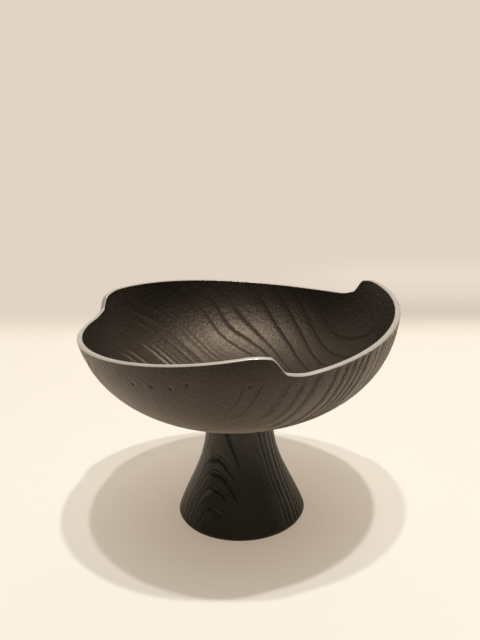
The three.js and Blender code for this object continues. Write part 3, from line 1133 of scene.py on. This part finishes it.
class FRUITBOWL_OT_bowl(bpy.types.Operator):
    """Makes the bowl with its carved grain and bare rim"""

    bl_idname = "fruitbowl.bowl"
    bl_label = "Bowl"

    def execute(self, context):
        settings = context.scene.fruitbowl_casting
        parts = bowl_stretches()
        stretches = [stretch for part in parts for stretch in part]
        counts = [sum(count for count, _ in part) for part in parts]
        seat_row, rim_row, lip_row, _ = accumulate(counts)

        @lru_cache(maxsize=None)
        def relief_at(row, degrees):
            """Where a spot is, which way its relief goes, and how deep it is there in mm."""
            radius, height = wall_at(stretches, row, degrees)
            place = turned_place(radius, height, degrees)
            if row <= seat_row or rim_row < row < lip_row:
                return place, Vector(), 0.0
            outward = turned_place(*outward_at(max(radius, MM), height), degrees)
            below_rim = SEAT + edge_height(degrees) - height
            kept = settings.grain_depth * mix(settings.rim_relief, 1, smoothstep(*RELIEF_FADE, below_rim))
            if row >= lip_row:
                deep = inside_relief(place) * kept
                return place, outward, deep * mix(FADED_RELIEF, 1, inside_shown(1, height))
            past_neck = smoothstep(0, NECK_FADE, radius - NECK_RADIUS)
            kept *= past_neck
            return place, -outward, OUTSIDE_INSET / MM * past_neck + outside_relief(place) * kept

        def depth_at(spot):
            return relief_at(*drum_place(spot))[2]

        def carved_row(face):
            rows = [vert.co.z for vert in face.verts]
            return min(rows) >= seat_row and (max(rows) <= rim_row or min(rows) >= lip_row)

        def crossed_by_ring(face):
            if not carved_row(face):
                return False
            row, degrees = drum_place(face.calc_center_median())
            place = relief_at(row, degrees)[0]
            return near_ring(*rings_by(place, row > lip_row))

        def on_step(face):
            rows = [vert.co.z for vert in face.verts]
            degrees = drum_place(face.calc_center_median())[1]
            off = min(abs(degrees_past(start + 180, degrees) - 180) for start, _ in LOBES)
            on_rim = min(rows) >= rim_row - 1 and max(rows) <= lip_row + 1
            return on_rim and off < STEEP_HALF_ANGLE + STEP_MARGIN

        def on_pit(face):
            row, degrees = drum_place(face.calc_center_median())
            return seat_row < row < rim_row and near_pit(relief_at(row, degrees)[0])

        def bent_by_relief(face):
            return carved_row(face) and relief_error(face, depth_at) > RELIEF_ERROR

        tests = (*[on_step] * STEP_SPLITS, *[on_pit] * PIT_SPLITS, crossed_by_ring, bent_by_relief)
        bm, row_layer = turned_mesh(stretches, BOWL_COLUMNS, BOWL_SPACING, finer=tests)
        layers = grain_layers(bm)
        for vert in bm.verts:
            row, degrees = drum_place(Vector((vert.co.x, vert.co.y, vert[row_layer])))
            place, direction, depth = relief_at(row, degrees)
            vert.co = place + direction * depth * MM
            phase, strength = ring_line(*rings_by(place, row >= lip_row))
            if row >= lip_row:
                strength *= inside_shown(strength, place.z)
            if row <= seat_row:
                strength = 0
            for layer, value in zip(layers, (depth, phase, strength)):
                vert[layer] = value
        for face in bm.faces:
            rows = [vert[row_layer] for vert in face.verts]
            if min(rows) >= lip_row - ROW_SLACK:
                face.material_index = 2
            elif min(rows) >= rim_row - ROW_SLACK:
                face.material_index = 1
        gloss = settings.gloss_colour
        outside_tones = (settings.coat_colour, settings.grit_colour, gloss)
        # Darker copies of the coating's tones, as painted shade on the inside
        shaded_inside_tones = (settings.inside_shaded_colour, settings.inside_shaded_grit_colour, gloss)
        materials = [
            coated_casting("textured_black_outside", BOWL_PITH, settings, outside_tones, OUTSIDE_FINISH),
            bare_rim(settings),
            coated_casting("textured_black_inside", BOWL_PITH, settings, shaded_inside_tones, INSIDE_FINISH),
        ]
        finish_piece(bm, "bowl_casting", materials, "bowl")
        return {"FINISHED"}


def relief_error(face, depth_at):
    """How far, in mm, the relief bends away from a flat face, at its middle and along its edges."""
    corners = [vert.co for vert in face.verts]
    depths = [depth_at(corner) for corner in corners]
    middle = face.calc_center_median()
    error = abs(depth_at(middle) - sum(depths) / len(depths))
    for at in range(len(corners)):
        halfway = (corners[at - 1] + corners[at]) / 2
        error = max(error, abs(depth_at(halfway) - (depths[at - 1] + depths[at]) / 2))
    return error


# Making the pedestal


class FRUITBOWL_OT_pedestal(bpy.types.Operator):
    """Makes the hollow pedestal with its carved grain"""

    bl_idname = "fruitbowl.pedestal"
    bl_label = "Pedestal"

    def execute(self, context):
        settings = context.scene.fruitbowl_casting
        base = PEDESTAL_LOW.z
        top = PEDESTAL_HIGH.z
        web_underside = top - WEB
        socket = SPIGOT_RADIUS + SOCKET_CLEARANCE
        rounded = FOOT_ROUNDING * (1 - math.sqrt(0.5))
        cavity_top = cavity_curve(0, 0)
        cavity_foot = cavity_curve(1, 0)
        foot = polyline(
            [
                (FOOT_RADIUS - FOOT_LAND, base),
                (FOOT_RADIUS - FOOT_ROUNDING, base),
                (FOOT_RADIUS - rounded, base + rounded),
                flare_at(0),
            ]
        )
        head = polyline(
            [
                flare_at(1),
                (socket, top),
                (socket, top - SOCKET_DEPTH),
                (SCREW_HOLE_RADIUS, top - SOCKET_DEPTH),
                (SCREW_HOLE_RADIUS, web_underside),
                (cavity_top[0] - FILLET, web_underside),
                cavity_top,
            ]
        )
        cavity = [(CAVITY_ROWS, cavity_curve), *polyline([cavity_foot, (FOOT_RADIUS - FOOT_LAND, base)])]
        stretches = foot + [(PEDESTAL_ROWS, flare_curve)] + head + cavity
        flare_start = len(foot)
        flare_end = flare_start + PEDESTAL_ROWS
        bm, row_layer = turned_mesh(stretches, PEDESTAL_COLUMNS, PEDESTAL_SPACING, closed=True)
        layers = grain_layers(bm)
        for vert in bm.verts:
            row = vert[row_layer]
            if not flare_start < row < flare_end:
                continue
            share = (row - flare_start) / PEDESTAL_ROWS
            outward = turned_place(*flare_outward(share), math.degrees(math.atan2(vert.co.y, vert.co.x)))
            ends = smoothstep(0, PEDESTAL_END_FADE, min(share, 1 - share))
            place = vert.co.copy()
            depth = pedestal_relief(place) * settings.grain_depth * ends
            vert.co -= outward * depth * MM
            phase, strength = ring_line(*pedestal_rings_by(place))
            for layer, value in zip(layers, (depth, phase, strength * ends)):
                vert[layer] = value
        # Lighter copies of the coating's tones, as painted light
        tones = (settings.pedestal_lit_colour, settings.pedestal_lit_grit_colour, settings.pedestal_gloss_colour)
        name = "textured_black_pedestal"
        coated = coated_casting(name, PEDESTAL_PITH, settings, tones, PEDESTAL_FINISH)
        finish_piece(bm, "pedestal_casting", [coated], "pedestal")
        return {"FINISHED"}


# Making the screw, the washers and the rubber ring


def head_radius(height, degrees):
    """Radius of the hexagon head, whose lower corners are cut by a cone."""
    half_flats = SCREW_HIGH.x
    off_flat = (degrees + HALF_FLAT_ANGLE) % (2 * HALF_FLAT_ANGLE) - HALF_FLAT_ANGLE
    hexagon = half_flats / math.cos(math.radians(off_flat))
    widest = half_flats / math.cos(math.radians(HALF_FLAT_ANGLE))
    return min(hexagon, widest + HEAD_CONE_SLOPE * (height - SCREW_LOW.z - HEAD_CHAMFER))


def head_curve(low, high):
    def curve(share, degrees):
        height = mix(low, high, share)
        return head_radius(height, degrees), height

    return curve


def under_head_curve(share, degrees):
    height = SCREW_LOW.z + HEAD_HEIGHT
    return mix(head_radius(height, degrees), SCREW_RADIUS, share), height


def screw_thread(share, degrees):
    height = mix(SCREW_LOW.z + HEAD_HEIGHT + PLAIN_SHANK, SCREW_HIGH.z - SCREW_TIP, share)
    fade = smoothstep(0, THREAD_RUN_OUT, share)
    return SCREW_RADIUS - THREAD_DEPTH * fade * thread_wave(height, degrees), height


class FRUITBOWL_OT_screw(bpy.types.Operator):
    """Makes the hexagon-head screw that holds the bowl to the pedestal"""

    bl_idname = "fruitbowl.screw"
    bl_label = "Screw"

    def execute(self, context):
        settings = context.scene.fruitbowl_fixings
        low = SCREW_LOW.z
        chamfered = low + HEAD_CHAMFER
        head_top = low + HEAD_HEIGHT
        shank_start = head_top + PLAIN_SHANK
        shank_end = SCREW_HIGH.z - SCREW_TIP
        stretches = [
            *polyline([(0, low), (head_radius(low, 0), low)]),
            (CHAMFER_ROWS, head_curve(low, chamfered)),
            (FLATS_ROWS, head_curve(chamfered, head_top)),
            (1, under_head_curve),
            *polyline([(SCREW_RADIUS, head_top), (SCREW_RADIUS, shank_start)]),
            (thread_rows(shank_end - shank_start), screw_thread),
            *polyline([screw_thread(1, 0), (SCREW_RADIUS - SCREW_TIP, SCREW_HIGH.z), (0, SCREW_HIGH.z)]),
        ]
        bm, _ = turned_mesh(stretches, 2 * SMALL_COLUMNS, PEDESTAL_SPACING)
        round_edges(bm, settings.head_rounding, below=(head_top + shank_start) / 2)
        finish_piece(bm, "clamp_screw_m8", [plated_steel(settings)], "clamp_screw")
        return {"FINISHED"}


class FRUITBOWL_OT_washers(bpy.types.Operator):
    """Makes the plain washer and the split spring washer"""

    bl_idname = "fruitbowl.washers"
    bl_label = "Washers"

    def execute(self, context):
        settings = context.scene.fruitbowl_fixings
        steel = plated_steel(settings)
        bm = turned_ring(WASHER_BORE, WASHER_HIGH.x, WASHER_LOW.z, WASHER_HIGH.z)
        round_edges(bm, settings.washer_rounding)
        finish_piece(bm, "plain_washer_m8", [steel], "plain_washer")
        bm = coiled_washer()
        round_edges(bm, settings.washer_rounding)
        finish_piece(bm, "spring_washer_m8", [steel], "spring_washer")
        return {"FINISHED"}


def turned_ring(inner, outer, low, high):
    corners = [(inner, low), (outer, low), (outer, high), (inner, high), (inner, low)]
    bm, _ = turned_mesh(polyline(corners), 2 * SMALL_COLUMNS, PEDESTAL_SPACING, closed=True)
    return bm


def coiled_washer():
    """A square-cut wire wound once, with a slot between its ends, one of which lies higher."""
    inner = WASHER_BORE
    outer = SPRING_HIGH.y
    middle = (inner + outer) / 2
    half_slot = math.asin(SPRING_SLOT / 2 / middle)
    low = SPRING_LOW.z
    rise = SPRING_HIGH.z - low - SPRING_STOCK
    bm = bmesh.new()
    corners = [(inner, low), (outer, low), (outer, low + SPRING_STOCK), (inner, low + SPRING_STOCK)]
    section = bm.faces.new([bm.verts.new((radius, 0, height)) for radius, height in corners])
    bmesh.ops.rotate(bm, verts=section.verts[:], cent=(0, 0, 0), matrix=Matrix.Rotation(half_slot, 3, "Z"))
    geom = [section, *section.edges, *section.verts]
    spin(bm, geom, TURN - 2 * half_slot, SMALL_COLUMNS, rise=rise / SMALL_COLUMNS)
    bmesh.ops.remove_doubles(bm, verts=bm.verts[:], dist=NEARLY)
    bmesh.ops.recalc_face_normals(bm, faces=bm.faces[:])
    return bm


class FRUITBOWL_OT_ring(bpy.types.Operator):
    """Makes the rubber ring that the foot stands on"""

    bl_idname = "fruitbowl.ring"
    bl_label = "Rubber Ring"

    def execute(self, context):
        settings = context.scene.fruitbowl_fixings
        bm = turned_ring(RING_HIGH.x - RING_WIDTH, RING_HIGH.x, RING_LOW.z, RING_HIGH.z)
        round_edges(bm, settings.rubber_rounding, segments=3)
        finish_piece(bm, "rubber_foot_ring", [moulded_rubber(settings)], "foot_ring")
        return {"FINISHED"}


# Making the stage


class FRUITBOWL_OT_stage(bpy.types.Operator):
    """Makes the floor, the wall behind, the lamps and the camera"""

    bl_idname = "fruitbowl.stage"
    bl_label = "Stage"

    def execute(self, context):
        scene = context.scene
        settings = scene.fruitbowl_stage
        make_camera(scene)
        make_sweep(scene, settings)
        make_lamps(scene, settings)
        make_room(scene, settings)
        scene.view_settings.view_transform = "Standard"
        return {"FINISHED"}


def make_camera(scene):
    data = bpy.data.cameras.new("camera")
    data.sensor_width = SENSOR
    data.lens = FOCAL_PIXELS / PHOTO_HEIGHT * SENSOR
    camera = bpy.data.objects.new("camera", data)
    scene.collection.objects.link(camera)
    right = Vector((1, 0, 0))
    up = Vector((0, math.sin(CAMERA_DOWN), math.cos(CAMERA_DOWN)))
    forward = Vector((0, math.cos(CAMERA_DOWN), -math.sin(CAMERA_DOWN)))
    rolled_right = right * math.cos(CAMERA_ROLL) + up * math.sin(CAMERA_ROLL)
    rolled_up = up * math.cos(CAMERA_ROLL) - right * math.sin(CAMERA_ROLL)
    axes = Matrix((rolled_right, rolled_up, -forward)).transposed()
    camera.matrix_world = Matrix.Translation(CAMERA_PLACE) @ axes.to_4x4()
    scene.camera = camera


def make_sweep(scene, settings):
    """A floor that curves up into a wall, drawn as a profile and pulled sideways."""
    bend_start = SWEEP_BACK - SWEEP_BEND
    profile = [(SWEEP_FRONT, 0), (bend_start, 0)]
    for step in range(1, SWEEP_BEND_STEPS + 1):
        angle = TURN / 4 * step / SWEEP_BEND_STEPS
        profile.append((bend_start + SWEEP_BEND * math.sin(angle), SWEEP_BEND * (1 - math.cos(angle))))
    profile.append((SWEEP_BACK, SWEEP_TOP))
    bm = bmesh.new()
    corners = [bm.verts.new((-SWEEP_HALF_WIDTH, y, z)) for y, z in profile]
    edges = [bm.edges.new(pair) for pair in zip(corners, corners[1:])]
    pulled = bmesh.ops.extrude_edge_only(bm, edges=edges)["geom"]
    moved = [item for item in pulled if isinstance(item, bmesh.types.BMVert)]
    bmesh.ops.translate(bm, verts=moved, vec=(2 * SWEEP_HALF_WIDTH, 0, 0))
    bmesh.ops.rotate(bm, verts=bm.verts[:], cent=(0, 0, 0), matrix=Matrix.Rotation(SWEEP_TURN, 3, "Z"))
    for face in bm.faces:
        face.smooth = True
        if face.calc_center_median().z < SWEEP_BEND and face.normal.z < 0 or face.normal.y > 0.5:
            face.normal_flip()
    mesh = bpy.data.meshes.new("sweep")
    bm.to_mesh(mesh)
    bm.free()
    mesh.materials.append(painted_sweep(settings))
    sweep = bpy.data.objects.new("sweep", mesh)
    scene.collection.objects.link(sweep)


def make_lamps(scene, settings):
    for number, (place, watts) in enumerate(LAMPS, start=1):
        data = bpy.data.lights.new(f"ceiling_lamp_{number}", "AREA")
        data.shape = "DISK"
        data.size = LAMP_SIZE
        data.energy = watts
        data.color = settings.lamp_colour[:3]
        lamp = bpy.data.objects.new(data.name, data)
        lamp.location = place
        scene.collection.objects.link(lamp)


def make_room(scene, settings):
    """Even light from all around. The camera sees a pale room, and gloss a dim one, paler in front."""
    world = bpy.data.worlds.new("room")
    scene.world = world
    tree = empty_tree(world)
    path = add_node(tree, "LightPath").outputs
    way = add_node(tree, "TexCoord").outputs["Generated"]
    facing = add_node(tree, "VectorMath", (way, ROOM_FRONT), operation="DOT_PRODUCT")
    glossy = (facing, *ROOM_FRONT_REACH, settings.room_shown, settings.room_front)
    dim = (path["Is Glossy Ray"], add_node(tree, "MapRange", glossy))
    strength = add_node(tree, "Math", dim, operation="MULTIPLY")
    for least in (settings.room_light, path["Is Camera Ray"]):
        strength = add_node(tree, "Math", (strength, least), operation="MAXIMUM")
    light = add_node(tree, "Background", {"Color": settings.room_colour, "Strength": strength})
    add_node(tree, "OutputWorld", {"Surface": light})


# The sidebar panel, and running the script


class FRUITBOWL_PT_panel(bpy.types.Panel):
    """Lists the pieces of the fruit bowl"""

    bl_idname = "FRUITBOWL_PT_panel"
    bl_label = "Fruit Bowl"
    bl_space_type = "VIEW_3D"
    bl_region_type = "UI"
    bl_category = "Fruit Bowl"

    def draw(self, context):
        for operator in OPERATORS:
            self.layout.operator(operator.bl_idname)


OPERATORS = (
    FRUITBOWL_OT_bowl,
    FRUITBOWL_OT_pedestal,
    FRUITBOWL_OT_screw,
    FRUITBOWL_OT_washers,
    FRUITBOWL_OT_ring,
    FRUITBOWL_OT_stage,
)
SETTINGS = {
    "fruitbowl_casting": CastingSettings,
    "fruitbowl_fixings": FixingSettings,
    "fruitbowl_stage": StageSettings,
}
CLASSES = (*SETTINGS.values(), *OPERATORS, FRUITBOWL_PT_panel)


def register():
    for cls in CLASSES:
        bpy.utils.register_class(cls)
    for name, group in SETTINGS.items():
        setattr(bpy.types.Scene, name, PointerProperty(type=group))


def unregister():
    for name in SETTINGS:
        delattr(bpy.types.Scene, name)
    for cls in reversed(CLASSES):
        bpy.utils.unregister_class(cls)


def main():
    register()
    bpy.ops.fruitbowl.bowl()
    bpy.ops.fruitbowl.pedestal()
    bpy.ops.fruitbowl.screw()
    bpy.ops.fruitbowl.washers()
    bpy.ops.fruitbowl.ring()
    bpy.ops.fruitbowl.stage()


if __name__ == "__main__":
    main()
